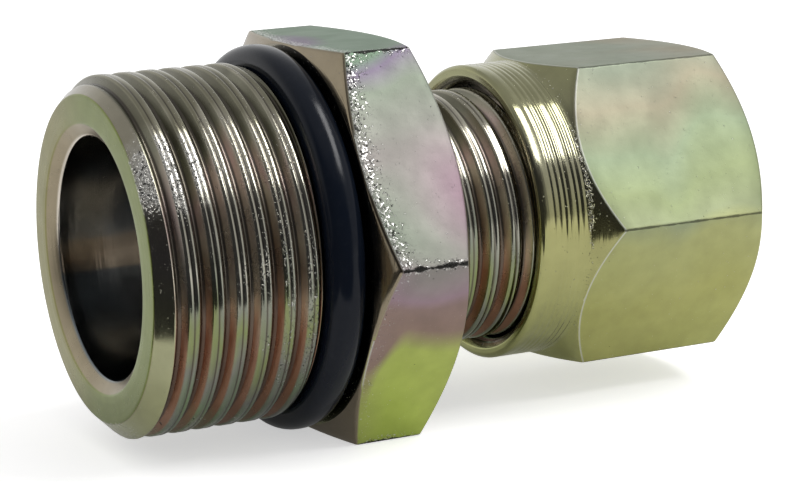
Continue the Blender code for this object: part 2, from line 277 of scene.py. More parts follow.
# %% Dark sheet
SHEET_REACH = 1.0
SHEET_RIGHT = -0.002
SHEET_SLANT = 0.49
SHEET_LEFT = -0.033
SHEET_FRONT = -0.030
SHEET_CORNER = -0.004
SHEET_HEIGHT = 0.0003

black_card = bpy.data.materials.new("black_card")
black_card.use_nodes = True
tree = black_card.node_tree
tree.nodes.clear()
add(tree, "ShaderNodeOutputMaterial", {0: add(tree, "ShaderNodeEmission", {"Color": ROOM_DARK}).outputs[0]})
card_outline = [
    (-SHEET_REACH, -SHEET_REACH),
    (SHEET_RIGHT + SHEET_SLANT * (SHEET_REACH + SHEET_FRONT), -SHEET_REACH),
    (SHEET_RIGHT, SHEET_FRONT),
    (SHEET_LEFT, SHEET_FRONT),
    (SHEET_LEFT, SHEET_CORNER),
    (-SHEET_REACH, SHEET_CORNER),
]
card = flat_sheet("dark_sheet", card_outline, SHEET_HEIGHT, black_card)
card.visible_camera = False
card.visible_diffuse = False
card.visible_transmission = False
card.visible_shadow = False

# %% [markdown]
# ## Surfaces from outlines
#
# Every piece is round or hexagonal about one axis, so each surface is a grid: rows follow the outline of the
# section, columns go round the axis. A lathe in Blender would be the Screw modifier, but it can't make a
# hexagon, and a Boolean leaves the long thin faces that spoil a polished look. In a grid, every row can hold
# its own distance and its own radius at each angle, so the curved edge where a chamfer meets a flat is a row.

# %% Columns
SECTOR_COLUMNS = 42
CORNER_CROWDING = 0.92

step = np.arange(SECTOR_COLUMNS) / SECTOR_COLUMNS
sector = (np.pi / 3) * (step - CORNER_CROWDING * np.sin(2 * np.pi * step) / (2 * np.pi))
ANGLES = np.concatenate([sector + k * np.pi / 3 for k in range(6)])
COLUMNS = len(ANGLES)
print(COLUMNS, "columns, closest at the hexagon's corners:", round(math.degrees(sector[1]), 3), "degrees")


def hexagon_radius(across_flats, corner_round):
    """Distance from the axis to a hexagon with rounded corners, at each column.

    A flat stands at half the width over the cosine of the angle from its middle. Near a corner the circle of
    radius corner_round takes over, whose centre lies on the corner's line."""
    apothem = across_flats / 2
    off_middle = np.abs((ANGLES % (np.pi / 3)) - np.pi / 6)
    off_corner = np.pi / 6 - off_middle
    centre = (apothem - corner_round) / math.cos(math.pi / 6)
    tangent = math.pi / 6 - math.atan((apothem - corner_round) * math.tan(math.pi / 6) / apothem)
    near = np.minimum(off_corner, tangent)
    arc = centre * np.cos(near) + np.sqrt(corner_round**2 - (centre * np.sin(near)) ** 2)
    return np.where(off_corner < tangent, arc, apothem / np.cos(off_middle))


# %% Rounded outlines
ROUND_SHARES = np.linspace(0.0, 1.0, 3)


def rounded(corners, rounds, spans=1):
    """Rows of an outline whose corners are softened.

    corners is a list of (x, radius), numbers or one value a column; rounds gives how far each corner is cut
    back along its two sides. Between the two cuts runs the curve (1-t)^2 a + 2t(1-t) corner + t^2 b. Each
    straight stretch between two corners is divided into that many spans. A corner that isn't cut back stays
    one row."""
    points = np.array([[np.broadcast_to(value, COLUMNS) for value in corner] for corner in corners], float)
    rounds = np.broadcast_to(rounds, len(points)).astype(float)
    spans = np.broadcast_to(spans, len(points) - 1)
    sides = points[1:] - points[:-1]
    lengths = np.linalg.norm(sides, axis=1)
    rows = [points[0]]
    last = points[0]
    for k in range(1, len(points)):
        if k < len(points) - 1 and rounds[k] > 0:
            cut_back = np.minimum(rounds[k], 0.4 * lengths[k - 1])
            cut_on = np.minimum(rounds[k], 0.4 * lengths[k])
            first = points[k] - sides[k - 1] * (cut_back / lengths[k - 1])
            second = points[k] + sides[k] * (cut_on / lengths[k])
            curve = [(1 - t) ** 2 * first + 2 * t * (1 - t) * points[k] + t**2 * second for t in ROUND_SHARES]
        else:
            curve = [points[k]]
        rows += [last + (curve[0] - last) * (s / spans[k - 1]) for s in range(1, spans[k - 1])]
        rows += curve
        last = curve[-1]
    return np.array(rows)


# %% Surface builder
FAR = 9.0


class Surface:
    """The vertices, faces and marks of one closed piece, gathered ring by ring along its outline.

    A vertex stands at (x, radius cos angle, axis height + radius sin angle). Marks are numbers kept with each
    vertex for the materials to read: 1 on turned faces, 1 on threads, 0 to 1 from a thread's least radius to
    its largest, 1 in the seam of a crest, and the millimetres to a hexagon's burred rim and to its nearest
    corner, or FAR."""

    MARKS = ("turned", "thread", "crest", "seam", "from_rim", "from_corner")

    def __init__(self):
        self.x, self.radius, self.angle = [], [], []
        self.marks = {name: [] for name in self.MARKS}
        self.faces = []
        self.count = 0
        self.first = self.last = None

    def vertices(self, x, radius, angle, marks):
        """Adds vertices and returns their numbers in the shape of x."""
        x = np.asarray(x, float)
        self.x.append(x.ravel())
        self.radius.append(np.broadcast_to(radius, x.shape).ravel())
        self.angle.append(np.broadcast_to(angle, x.shape).ravel())
        for name in self.MARKS:
            self.marks[name].append(np.broadcast_to(marks.get(name, 0.0), x.shape).ravel())
        numbers = np.arange(self.count, self.count + x.size).reshape(x.shape)
        self.count += x.size
        return numbers

    def quads(self, lower, upper):
        """Faces between two rings or two stacks of rings, round the axis and back to the first column."""
        around_low, around_up = np.roll(lower, -1, axis=-1), np.roll(upper, -1, axis=-1)
        self.faces += np.stack([lower, around_low, around_up, upper], axis=-1).reshape(-1, 4).tolist()

    def rings(self, rows, turned=1.0, from_rim=FAR, from_corner=FAR):
        """Adds rows of an outline and joins them to what is there."""
        marks = {"turned": turned, "from_rim": from_rim, "from_corner": from_corner}
        numbers = self.vertices(rows[:, 0], rows[:, 1], ANGLES, marks)
        self.quads(numbers[:-1], numbers[1:])
        self.join(numbers[0])
        self.last = numbers[-1]

    def join(self, ring):
        """Sews a ring to the last one, or keeps it as the first."""
        if self.first is None:
            self.first = ring
        else:
            self.quads(self.last, ring)

    def close(self):
        """Sews the last ring to the first."""
        self.quads(self.last, self.first)

    def piece(self, name, material):
        """Makes the Blender object, with its faces pointing out."""
        x, radius, angle = (np.concatenate(part) for part in (self.x, self.radius, self.angle))
        points = np.stack([x, radius * np.cos(angle), AXIS_HEIGHT + radius * np.sin(angle)], axis=1) * MM
        mesh = bpy.data.meshes.new(name)
        mesh.from_pydata(points, [], self.faces)
        mesh.update()
        if signed_volume(mesh) < 0:
            mesh.flip_normals()
        for mark, parts in self.marks.items():
            values = np.concatenate(parts).astype(np.float32)
            mesh.attributes.new(mark, "FLOAT", "POINT").data.foreach_set("value", values)
        mesh.polygons.foreach_set("use_smooth", np.ones(len(mesh.polygons), bool))
        mesh.materials.append(material)
        obj = bpy.data.objects.new(name, mesh)
        bpy.context.scene.collection.objects.link(obj)
        print(name, len(points), "vertices,", round(signed_volume(mesh) / MM**3, 1), "cubic mm")
        return obj


def signed_volume(mesh):
    """A sixth of the sum of the triangles' triple products: positive if the faces point out."""
    mesh.calc_loop_triangles()
    corners = np.empty(len(mesh.loop_triangles) * 3, np.int32)
    mesh.loop_triangles.foreach_get("vertices", corners)
    points = np.empty(len(mesh.vertices) * 3)
    mesh.vertices.foreach_get("co", points)
    a, b, c = points.reshape(-1, 3)[corners.reshape(-1, 3)].transpose(1, 0, 2)
    return float((a * np.cross(b, c)).sum() / 6)


# %% [markdown]
# ## Screw threads
#
# A thread is the one form that a stack of rings can't follow: its crest climbs by one pitch each turn, and
# rings would cross it and leave steps. Blender's Screw modifier could wind it, but its two ends would stay
# open. Here the section of one pitch is carried along the helix, and each turn is sewn to the next. Before
# and after the thread the same strip is squeezed into a narrow plain band, where one many-sided face at each
# end sews it to a true circle, so that the whole body is one closed skin.
#
# These threads were rolled and not cut: the steel was pressed up from both sides of a crest into two round
# lips. The seam between them opens and closes, and it wanders from side to side, so both are sines here.

# %% Thread strip
ROOT_EASE = 0.05
SEAM_WIDTH = 0.17
SEAM_DEPTH = 0.09
SEAM_SWAY = 0.11
SEAM_OPEN = 0.6
SEAM_CHANGE = 0.4
SEAM_PACE = 1.3
SEAM_DRIFT = 2.0
SEAM_DRIFT_PACE = 0.37
BAND_MARGIN = 0.1


def add_thread(surface, start, end, pitch, groove, section, cut, start_band, end_band):
    """Winds a thread from ring start to ring end, each (x, radius), and joins it to the surface.

    A point stands at x = groove + pitch * (turns + angle / 2 pi) + its place in the section, so that the
    thread is right-handed. section is the rows of one pitch from groove to groove, cut(x, radius) is what the
    lathe leaves of them, and the bands are the widths of the plain stretches at both ends. The seam in the
    middle of a crest comes and goes along the helix, as a sine of a sine of the angle wound so far."""
    offsets, heights = section[:, 0], section[:, 1]
    low, high = start[0] + start_band, end[0] - end_band
    first_turn = math.floor((start[0] - groove) / pitch) - 1
    last_turn = math.ceil((end[0] - groove) / pitch) + 1
    whole = (last_turn - first_turn) * COLUMNS
    turns = np.arange(whole + COLUMNS + 1) // COLUMNS
    angles = ANGLES[np.arange(whole + COLUMNS + 1) % COLUMNS]
    climb = groove + pitch * (first_turn + turns + angles / (2 * np.pi))

    def squeezed(x):
        """What lies outside the thread's stretch, drawn into the two bands in proportion."""
        lowest, highest = groove + pitch * first_turn, climb[-1]
        share_below = BAND_MARGIN + (1 - BAND_MARGIN) * (x - lowest) / (low - lowest)
        share_above = BAND_MARGIN + (1 - BAND_MARGIN) * (highest - x) / (highest - high)
        below = start[0] + start_band * share_below
        above = end[0] - end_band * share_above
        return np.where(x < low, below, np.where(x > high, above, x))

    wound = 2 * np.pi * turns[: whole + 1] + angles[: whole + 1]
    drift = SEAM_DRIFT * np.sin(SEAM_DRIFT_PACE * wound)
    open_share = SEAM_OPEN + SEAM_CHANGE * np.sin(SEAM_PACE * wound + drift)
    seam = np.isclose(offsets, pitch / 2) * (heights.max() - heights)
    ragged = heights + seam * (1 - open_share[:, None])
    swaying = (np.abs(offsets - pitch / 2) < SEAM_WIDTH) & (seam.max() > 0)
    sway = -SEAM_SWAY * np.sin(angles[: whole + 1, None]) * swaying
    body_x = squeezed(climb[: whole + 1, None] + offsets[None, :] + sway)
    tail_x = squeezed(climb[whole + 1 :])
    plain = {"turned": 1.0, "from_rim": FAR, "from_corner": FAR}
    crest = (heights - heights.min()) / np.ptp(heights)
    threaded = plain | {"thread": 1.0, "crest": crest, "seam": seam > 0}
    body = surface.vertices(body_x, cut(body_x, ragged), angles[: whole + 1, None], threaded)
    tail_radius = cut(tail_x, np.full(tail_x.shape, heights[0]))
    tail = surface.vertices(tail_x, tail_radius, angles[whole + 1 :], plain)
    bottom_line = np.concatenate([body[:, 0], tail])
    top = np.concatenate([body[:, 1:], bottom_line[COLUMNS:][:, None]], axis=1)
    surface.faces += np.stack([body[:-1], body[1:], top[1:], top[:-1]], axis=-1).reshape(-1, 4).tolist()

    lower = surface.vertices(np.full(COLUMNS, start[0]), start[1], ANGLES, plain)
    upper = surface.vertices(np.full(COLUMNS, end[0]), end[1], ANGLES, plain)
    rim = bottom_line[: COLUMNS + 1]
    surface.faces += np.stack([lower[:-1], lower[1:], rim[1:-1], rim[:-2]], axis=-1).tolist()
    lower_cap = [lower[-1], lower[0], *body[0], rim[-1], rim[-2]]
    surface.faces.append([int(number) for number in lower_cap])
    rim = bottom_line[whole : whole + COLUMNS + 1]
    surface.faces += np.stack([rim[1:-1], rim[2:], np.roll(upper, -1)[1:], upper[1:]], axis=-1).tolist()
    upper_cap = [rim[0], rim[1], upper[1], upper[0], rim[-1], *body[-1][:0:-1]]
    surface.faces.append([int(number) for number in upper_cap])
    surface.join(lower)
    surface.last = upper
    print("thread of", last_turn - first_turn, "turns, pitch", pitch, "mm,", body.size, "vertices")


# %% Thread section
def thread_section(pitch, root, crest, root_flat, crest_flat, crest_round, rolled=True):
    """One pitch of a thread, from the middle of a groove to the middle of the next, as (place, radius).

    The foot of each flank is eased by a small chamfer. A rolled crest is two lips that were pressed up from
    both sides, with a seam between them."""
    middle = pitch / 2
    run = middle - crest_flat / 2 - root_flat / 2
    rise = crest - root
    foot = (root_flat / 2 + ROOT_EASE * run / abs(rise), root + math.copysign(ROOT_EASE, rise))
    flank = [(0.0, root), (root_flat / 2 - ROOT_EASE, root), foot, (middle - crest_flat / 2, crest)]
    seam = []
    if rolled:
        half = SEAM_WIDTH / 2
        seam = [(middle - half, crest), (middle, crest - SEAM_DEPTH), (middle + half, crest)]
    back = [(pitch - place, height) for place, height in reversed(flank)]
    rounds = [0, 0, 0, crest_round, *[0] * len(seam), crest_round, 0, 0, 0]
    return rounded([*flank, *seam, *back], rounds)[:-1, :, 0]


# %% [markdown]
# ## Rubber
#
# Next to the hexagon lies a black sealing ring. Its rubber is dark and slightly shiny, with a bluish sheen
# and a little grey dust. Plain black would lose its roundness, so noise varies its colour and its gloss.
# Both read Object coordinates in millimetres, so that a scale in the noise can be compared with the part.

# %% Material helpers
def new_material(name):
    """A material with its node tree and its shader."""
    material = bpy.data.materials.new(name)
    material.use_nodes = True
    return material, material.node_tree, material.node_tree.nodes["Principled BSDF"]


def millimetres(tree):
    """Object coordinates counted in millimetres."""
    place = add(tree, "ShaderNodeTexCoord").outputs["Object"]
    return vector_math(tree, "MULTIPLY", place, (1 / MM, 1 / MM, 1 / MM))


def noise(tree, place, scale, detail=2.0, roughness=0.5, distortion=0.0):
    """Noise of about 0.5, with scale patches to a millimetre."""
    inputs = {"Vector": place, "Scale": scale, "Detail": detail}
    inputs |= {"Roughness": roughness, "Distortion": distortion}
    return add(tree, "ShaderNodeTexNoise", inputs).outputs[0]


def ramp(tree, share, stops):
    """A colour for each share: stops are (share, colour) in linear values."""
    node = add(tree, "ShaderNodeValToRGB", {0: share})
    while len(node.color_ramp.elements) < len(stops):
        node.color_ramp.elements.new(0.5)
    for element, (position, colour) in zip(node.color_ramp.elements, stops):
        element.position = position
        element.color = (*colour, 1.0)
    return node.outputs[0]


# %% Rubber
RUBBER_BLACK = (0.004, 0.006, 0.011, 1.0)
RUBBER_DUST = (0.014, 0.016, 0.021, 1.0)

rubber, tree, shader = new_material("nitrile_rubber")
place = millimetres(tree)
dust = between(tree, noise(tree, place, 1.6, 4.0, 0.6), 0.50, 0.80, 0.0, 0.25)
gloss = between(tree, noise(tree, place, 0.7), 0.3, 0.7, 0.13, 0.20)
grain = noise(tree, place, 5.0, 3.0)
bump = add(tree, "ShaderNodeBump", {"Height": grain, "Strength": 0.3, "Distance": 0.01 * MM})
tree.links.new(blend(tree, dust, RUBBER_BLACK, RUBBER_DUST), shader.inputs["Base Color"])
tree.links.new(gloss, shader.inputs["Roughness"])
tree.links.new(bump.outputs[0], shader.inputs["Normal"])
shader.inputs["Specular IOR Level"].default_value = 0.16
print(rubber.name, len(tree.nodes), "nodes")

# %% [markdown]
# ## Plating: where a point lies
#
# The steel is zinc plated and passivated. How it looks depends on where a point lies: on a drawn flat, on a
# turned face, on a crest or in a root, in the bore, at a mouth. Such areas could be painted by hand on an
# unwrapped picture. Here they follow from Object coordinates and from the marks of the surface, so their
# edges stay sharp from any distance and no picture is needed.

# %% Spots of a plated piece
CREST = (0.75, 0.96)
END_CONE = (0.03, 0.08)
MOUTH = (STUD_END + 0.5, STUD_END + 0.6)


class Spot:
    """What a plated material knows of a point, as node outputs: place, distance from the axis and marks.

    A point is on the cone at the stud's end where its radius less its x is that of the end face's rim."""

    def __init__(self, tree):
        self.place = millimetres(tree)
        axes = add(tree, "ShaderNodeSeparateXYZ", {0: self.place}).outputs
        self.x, self.y, self.z = axes["X"], axes["Y"], axes["Z"]
        above = minus(tree, self.z, AXIS_HEIGHT)
        self.across = add(tree, "ShaderNodeCombineXYZ", {"Y": self.y, "Z": above}).outputs[0]
        self.radius = vector_math(tree, "LENGTH", self.across)
        for mark in Surface.MARKS:
            setattr(self, mark, add(tree, "ShaderNodeAttribute", attribute_name=mark).outputs["Fac"])
        off_cone = minus(tree, self.radius, self.x, STUD_RIM - STUD_END)
        self.end_cone = fades(tree, calculate(tree, "ABSOLUTE", off_cone), *END_CONE)
        self.at_mouth = fades(tree, self.x, *MOUTH)
        self.on_crest = larger(tree, between(tree, self.crest, *CREST), self.end_cone)


# %% [markdown]
# ## Plating: the film
#
# The passivation leaves a thin film in soft patches of olive, tan, rose and sage. Its colours could come from
# real thin-film interference, but their order in the photograph is slow and blotchy, as the bath drained off.
# So colour ramps run from the bottom of the part to its top, and noise pushes them about. The film is drawn
# out along the threads, where crest and flank have ramps of their own, and these hold painted light too: a
# brighter band where the lamp is mirrored, and painted shade towards the top. The roots and seams are painted
# dark, as painted shade. It gathered at the body's rim and leans along the nut. The chamfers, the mouth, the
# end face and the bore took it in plainer colours, and the bore is painted darker below a line, as a painted
# reflection of the horizon.

# %% Film colours
# Roots and seams of the threads are painted dark: painted shade in the grooves and creases.
ROOT_PAINTED_SHADE = (0.05, 0.042, 0.035, 1.0)
CONE_BROWN = (0.25, 0.21, 0.145, 1.0)
END_OLIVE = (0.18, 0.21, 0.07, 1.0)
END_TAN = (0.235, 0.22, 0.10, 1.0)
MOUTH_TAN = (0.30, 0.255, 0.175, 1.0)
# The bore by height: a painted reflection of the horizon, dark below a line, brown above it and lighter from
# the axis up.
BORE_FILM_AND_REFLECTION_STOPS = [
    (0.404, (0.16, 0.18, 0.20)),
    (0.412, (0.36, 0.32, 0.27)),
    (0.46, (0.36, 0.32, 0.27)),
    (0.50, (0.72, 0.66, 0.57)),
]
MOTTLE_STOPS = [(0.3, (0.94, 0.94, 0.94)), (0.7, (1.05, 1.05, 1.05))]
RIM_FILM = (0.2, 2.4)
RIM_FILM_TOP = (6.0, 9.5)
LEAN_ALONG = (12.0, 20.0)
LEAN_UP = (12.5, 17.5)
STREAKS = (0.9, 0.16, 0.16)
CREST_FILM = (0.70, 0.96)
ROOT = (0.02, 0.16)
CHAMFER_RADII = (11.75, 11.95)
TAN_SIDE = (-1.0, 6.0)
END_FACE = (STUD_END + 0.03, STUD_END + 0.10)
BORE_RADII = (7.40, 7.60)
BORE_END = (NUT_END - 0.5, NUT_END - 0.3)


def drained_height(tree, spot, height, moved, patchiness, rim_film, lean):
    """The place on the film's ramp: height, plus noise, plus the shift near a rim, less the lean."""
    patches = minus(tree, noise(tree, moved, 0.10, 1.0, 0.4, 0.6), 0.5)
    at_rim = times(tree, fades(tree, spot.from_rim, *RIM_FILM, rim_film), fades(tree, spot.z, *RIM_FILM_TOP))
    leaning = times(tree, between(tree, spot.x, *LEAN_ALONG, 0.0, lean), between(tree, spot.z, *LEAN_UP))
    return minus(tree, plus(tree, height, times(tree, patches, patchiness), at_rim), leaning)


def thread_colour_and_painted_light(tree, spot, height, moved, stops):
    """Flank and crest by height, pushed by noise that is stretched along the turns. Their ramps hold painted
    light, and root and seam are painted dark as shade.
    """
    streaks = minus(tree, noise(tree, vector_math(tree, "MULTIPLY", moved, STREAKS), 0.7, 2.0), 0.5)
    wound = plus(tree, height, times(tree, streaks, 0.6))
    on_crest = between(tree, spot.crest, *CREST_FILM)
    colour = blend(tree, on_crest, ramp(tree, wound, stops["flank"]), ramp(tree, wound, stops["crest"]))
    # Root and seam painted dark, as painted shade in the groove and the crease.
    colour = blend(tree, fades(tree, spot.crest, *ROOT, 0.8), colour, ROOT_PAINTED_SHADE)
    return blend(tree, times(tree, spot.seam, 0.9), colour, ROOT_PAINTED_SHADE)


def film_colour(tree, spot, top, offset, stops, patchiness, rim_film, lean):
    """The film over the whole piece. Its height is counted in shares of top, and offset moves its patches."""
    height = calculate(tree, "DIVIDE", spot.z, top)
    moved = vector_math(tree, "ADD", spot.place, offset)
    drained = drained_height(tree, spot, height, moved, patchiness, rim_film, lean)
    on_flat, on_turned = ramp(tree, drained, stops["flat"]), ramp(tree, drained, stops["turned"])
    colour = blend(tree, spot.turned, on_flat, on_turned)
    on_thread = minus(tree, spot.thread, spot.end_cone, clamp=True)
    colour = blend(tree, on_thread, colour, thread_colour_and_painted_light(tree, spot, height, moved, stops))

    plain = minus(tree, spot.turned, spot.thread)
    end_colour = blend(tree, between(tree, spot.y, *TAN_SIDE), END_OLIVE, END_TAN)
    in_bore = times(tree, plain, fades(tree, spot.radius, *BORE_RADII), fades(tree, spot.x, *BORE_END))
    for share, own_colour in (
        (times(tree, plain, between(tree, spot.radius, *CHAMFER_RADII)), CONE_BROWN),
        (times(tree, plain, spot.at_mouth), MOUTH_TAN),
        (times(tree, plain, fades(tree, spot.x, *END_FACE)), end_colour),
        # The bore's ramp is a painted reflection.
        (in_bore, ramp(tree, height, BORE_FILM_AND_REFLECTION_STOPS)),
    ):
        colour = blend(tree, share, colour, own_colour)
    mottle = ramp(tree, noise(tree, spot.place, 0.9, 3.0, 0.5), MOTTLE_STOPS)
    return blend(tree, 1.0, colour, mottle, "MULTIPLY")


# %% [markdown]
# ## Plating: wear and painted light
#
# The rims and corners of the hexagons are torn, with burrs that sparkle, and their light colour is partly a
# painted glint. The stud was knocked: there is a bruise at its end, whose bright colour is partly a painted
# highlight, and its crests have nicks. A ragged line runs round the nut where the collar meets the hexagon,
# and pits are strewn over everything. Burrs could be modelled one by one, but they are a tenth of a
# millimetre wide. So they are specks and holes of fine noise, which come through only where the surface is
# torn, and which also raise and sink it as a bump. Holes, pits and the lines along the corners are painted
# dark, as painted shade in what is sunk.

# %% Wear and painted light
RIM_BURRS = (0.10, 1.90)
UPPER_HALF = (11.0, 12.5)
CORNER_BURRS = (0.05, 0.75)
BRUISE_HIGHLIGHT_PLACE = (-19.4, -8.7, 18.3)
BRUISE_HIGHLIGHT_REACH = (1.5, 3.6)
NICKS = (0.50, 0.60)
NICKS_TOP = (19.5, 21.5)
COLLAR_LINE = (0.05, 0.30)
COLLAR_LINE_TOP = (17.0, 19.0)
COLLAR_LINE_FOOT = (10.5, 12.5)
SPECKS = (0.70, 0.80)
SPECKS_IF_TORN = 0.26
HOLES = (0.76, 0.82)
HOLES_IF_TORN = 0.22
HOLES_OFFSET = (9.0, 9.0, 9.0)
PIT_CELLS = 0.42
PITS_CHOSEN = (0.88, 0.90)
PIT_RADII = (0.03, 0.055)


class WearAndPaintedLight:
    """Where a plated piece is worn, and where light and shade are painted on it, as node outputs: bruise,
    specks, holes, gap and pits.

    A point is as torn as the strongest of what tears it. Specks and holes are where fine noise, plus a share
    of torn, is high. The gap is the thin line along a hexagon's corner, and a pit is the middle of about one
    Voronoi cell in nine. The light colour of the bruise and the specks is partly a painted highlight; the
    holes, the gap and the pits are painted dark, as painted shade in what is sunk."""

    def __init__(self, tree, spot, burrs):
        ragged = minus(tree, noise(tree, spot.place, 1.1, 3.0, 0.6), 0.5)
        uneven = times(tree, ragged, 1.2)
        rim = fades(tree, plus(tree, spot.from_rim, uneven), *RIM_BURRS, burrs)
        rim = times(tree, rim, between(tree, spot.z, *UPPER_HALF, 0.35, 1.0))
        corner = fades(tree, plus(tree, spot.from_corner, uneven), *CORNER_BURRS, burrs * 0.7)
        # The bruise: bare metal whose light colour is partly a painted highlight at the stud's end.
        to_bruise_highlight = vector_math(tree, "DISTANCE", spot.place, BRUISE_HIGHLIGHT_PLACE)
        to_bruise_highlight = plus(tree, to_bruise_highlight, times(tree, uneven, 2.5))
        self.bruise_and_highlight = times(tree, fades(tree, to_bruise_highlight, *BRUISE_HIGHLIGHT_REACH, burrs), spot.on_crest)
        nicks = between(tree, noise(tree, spot.place, 0.13), *NICKS, 0.0, 0.5 * burrs)
        nicks = times(tree, nicks, spot.on_crest, between(tree, spot.z, *NICKS_TOP, 1.0, 0.2))
        from_collar = calculate(tree, "ABSOLUTE", minus(tree, spot.x, COLLAR_END))
        line = times(tree, fades(tree, from_collar, *COLLAR_LINE, 0.9), spot.turned)
        line = times(tree, line, between(tree, spot.z, *COLLAR_LINE_TOP, 1.0, 0.3))
        line = times(tree, line, between(tree, spot.z, *COLLAR_LINE_FOOT, 0.3, 1.0))
        torn = larger(tree, rim, corner, self.bruise_and_highlight, nicks, line)

        # Specks are burrs: raised and glossy, and their light colour is partly a painted glint.
        crumbs = plus(tree, noise(tree, spot.place, 6.5, 2.0, 0.6), times(tree, torn, SPECKS_IF_TORN))
        self.specks = between(tree, crumbs, *SPECKS)
        moved = vector_math(tree, "ADD", spot.place, HOLES_OFFSET)
        chips = plus(tree, noise(tree, moved, 4.5, 2.0, 0.6), times(tree, torn, HOLES_IF_TORN))
        self.holes = between(tree, chips, *HOLES)
        wander = times(tree, ragged, 0.5 * burrs + 0.08)
        gap_reach = (0.03 + 0.05 * burrs, 0.07 + 0.07 * burrs)
        self.gap = fades(tree, plus(tree, spot.from_corner, wander), *gap_reach, 0.55 + 0.4 * burrs)
        inputs = {"Vector": spot.place, "Scale": PIT_CELLS, "Randomness": 1.0}
        cells = add(tree, "ShaderNodeTexVoronoi", inputs).outputs
        lot = add(tree, "ShaderNodeSeparateColor", {0: cells["Color"]}).outputs[0]
        self.pits = times(tree, fades(tree, cells["Distance"], *PIT_RADII), between(tree, lot, *PITS_CHOSEN))


# %% [markdown]
# ## Plating: the finish
#
# Film, wear and painted light, relief and gloss come together in one metal shader. Turned faces mirror the
# lamp sharply, with fine rings from the tool, and the drawn flats are satin. Anisotropic gloss could stand
# for the rings, but it gives one even streak. Bump noise that changes fast along the axis and slowly round it
# gives single uneven rings. The flanks and the mouth, which nothing has rubbed, are a little rougher.

# %% Plated finish
# Bare metal, and partly a painted highlight and glint, on the bruise and the specks.
BARE_METAL_AND_HIGHLIGHT = (0.70, 0.69, 0.66, 1.0)
EDGE_LIGHT = (0.62, 0.62, 0.56, 1.0)
# Painted shade: the black put into holes, the corner gap and pits, which the bump sinks.
PAINTED_SHADE_DARK = (0.02, 0.02, 0.018, 1.0)
THIN_RIM = (0.05, 0.16)
SMOOTH = (0.12, 0.18)
MATT = (0.48, 0.55)
DULLED = 0.14
RING_DEPTH = (0.010, 0.010, 0.010, 1.0)
THREAD_RING_DEPTH = (0.004, 0.004, 0.004, 1.0)
RING_SLANT = (0.03, 0.03, 0.03)


def worn_colour_and_painted_light(tree, spot, wear_and_painted_light, colour):
    """The film's colour with bare metal on the rubbed rims, bare metal and a painted highlight on the bruise
    and the specks, and painted shade in what is sunk.
    """
    # Light on the bruise and the specks is partly a painted highlight; the black of holes, gap and pits is
    # painted shade.
    for share, paint in (
        (times(tree, wear_and_painted_light.bruise_and_highlight, 0.5), BARE_METAL_AND_HIGHLIGHT),
        (times(tree, wear_and_painted_light.specks, 0.6), BARE_METAL_AND_HIGHLIGHT),
        (times(tree, wear_and_painted_light.holes, 0.85), PAINTED_SHADE_DARK),
        (fades(tree, spot.from_rim, *THIN_RIM, 0.75), EDGE_LIGHT),
        (wear_and_painted_light.gap, PAINTED_SHADE_DARK),
        (times(tree, wear_and_painted_light.pits, 0.85), PAINTED_SHADE_DARK),
    ):
        colour = blend(tree, share, colour, paint)
    return colour


def relief(tree, spot, wear_and_painted_light):
    """A bump from the height in millimetres: rings on turned faces, grain on flats, and the wear."""
    along = add(tree, "ShaderNodeCombineXYZ", {"X": spot.x, "Y": spot.radius}).outputs[0]
    ring_place = vector_math(tree, "ADD", along, vector_math(tree, "MULTIPLY", spot.across, RING_SLANT))
    ring_depth = blend(tree, spot.thread, RING_DEPTH, THREAD_RING_DEPTH)
    height = times(tree, noise(tree, ring_place, 3.5, 3.0, 0.6), spot.turned, ring_depth)
    grain = times(tree, noise(tree, spot.place, 3.2, 3.0, 0.6), minus(tree, 1.0, spot.turned))
    for layer, rise in (
        (grain, 0.006),
        (wear_and_painted_light.specks, 0.035),
        (wear_and_painted_light.holes, -0.05),
        (wear_and_painted_light.pits, -0.05),
        (wear_and_painted_light.gap, -0.05),
    ):
        height = plus(tree, height, times(tree, layer, rise))
    return add(tree, "ShaderNodeBump", {"Height": height, "Strength": 1.0, "Distance": MM}).outputs[0]


def gloss_of(tree, spot, wear_and_painted_light):
    """Roughness: satin flats, smooth turned faces, rougher on flanks, mouth and bruise, bright on specks."""
    smooth = between(tree, noise(tree, spot.place, 0.5, 3.0), 0.3, 0.7, *SMOOTH)
    matt = between(tree, noise(tree, spot.place, 0.4, 3.0), 0.3, 0.7, *MATT)
    on_flank = minus(tree, spot.thread, spot.on_crest, clamp=True)
    mouth = times(tree, spot.at_mouth, minus(tree, 1.0, spot.thread))
    dull = larger(tree, on_flank, mouth)
    smooth = plus(tree, smooth, times(tree, dull, DULLED), times(tree, wear_and_painted_light.bruise_and_highlight, DULLED))
    roughness = add(tree, "ShaderNodeMix", {0: spot.turned, 2: matt, 3: smooth}).outputs[0]
    return minus(tree, roughness, times(tree, wear_and_painted_light.specks, 0.25), clamp=True)


def plating(name, top, offset, stops, burrs, patchiness=0.35, rim_film=0.0, lean=0.0):
    """A plated finish. top, offset, stops, patchiness, rim_film and lean shape its film, burrs its wear and
    the painted light that comes with it.
    """
    material, tree, shader = new_material(name)
    spot = Spot(tree)
    wear_and_painted_light = WearAndPaintedLight(tree, spot, burrs)
    film = film_colour(tree, spot, top, offset, stops, patchiness, rim_film, lean)
    shader.inputs["Metallic"].default_value = 1.0
    tree.links.new(worn_colour_and_painted_light(tree, spot, wear_and_painted_light, film), shader.inputs["Base Color"])
    tree.links.new(gloss_of(tree, spot, wear_and_painted_light), shader.inputs["Roughness"])
    tree.links.new(relief(tree, spot, wear_and_painted_light), shader.inputs["Normal"])
    print(name, len(tree.nodes), "nodes")
    return material


